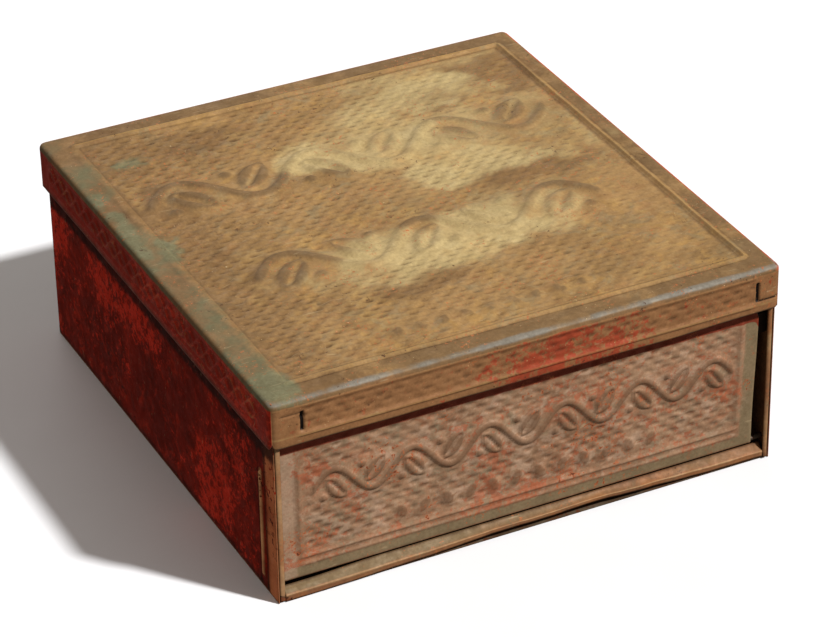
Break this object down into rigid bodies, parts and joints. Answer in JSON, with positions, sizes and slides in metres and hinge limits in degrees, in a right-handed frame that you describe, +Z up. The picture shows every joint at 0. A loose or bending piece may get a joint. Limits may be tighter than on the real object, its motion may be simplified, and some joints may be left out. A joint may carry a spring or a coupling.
{
  "type": "tin box",
  "caption": "Square embossed sheet-metal shop tin with a hinged overhanging lid and a drop-down front flap, worn and rusted.",
  "frame": {"origin": "middle of the body's underside, on the surface that the tin stands on", "axes": "+Z up, -Y towards the front flap, +Y towards the lid's hinges, +X to the right of someone facing the front"},
  "size_m": [0.244, 0.2596, 0.1],
  "materials": {
    "side_red": "dark red paint, worn and rusted",
    "lid_brass": "gold lacquer on tinplate, worn to olive and brown",
    "flap_taupe": "faded lacquer with rust specks",
    "strip_brown": "rusted lacquer",
    "inner_rust": "bare tinplate, rusted",
    "old_steel": "dull, rusted"
  },
  "bodies": {
    "body": {"body_wrap": "side_red", "bottom_sheet": "inner_rust", "front_sill": "strip_brown", "left_front_post": "strip_brown", "right_front_post": "strip_brown", "left_flap_stop": "strip_brown", "right_flap_stop": "strip_brown", "flap_hinge_wire": "old_steel", "left_hinge_body_leaf": "old_steel", "right_hinge_body_leaf": "old_steel", "left_hinge_pin": "old_steel", "right_hinge_pin": "old_steel"},
    "lid": {"lid_sheet": "lid_brass", "left_hinge_lid_leaf": "old_steel", "right_hinge_lid_leaf": "old_steel"},
    "flap": {"front_flap": "flap_taupe"}
  },
  "joints": [
    {"name": "lid_hinge", "type": "hinge", "parent": "body", "child": "lid", "pos_m": [0, 0.1284, 0.075], "axis": [-1, 0, 0], "range_deg": [0, 105]},
    {"name": "flap_hinge", "type": "hinge", "parent": "body", "child": "flap", "pos_m": [0, -0.1211, 0.0091], "axis": [1, 0, 0], "range_deg": [0, 90]}
  ]
}
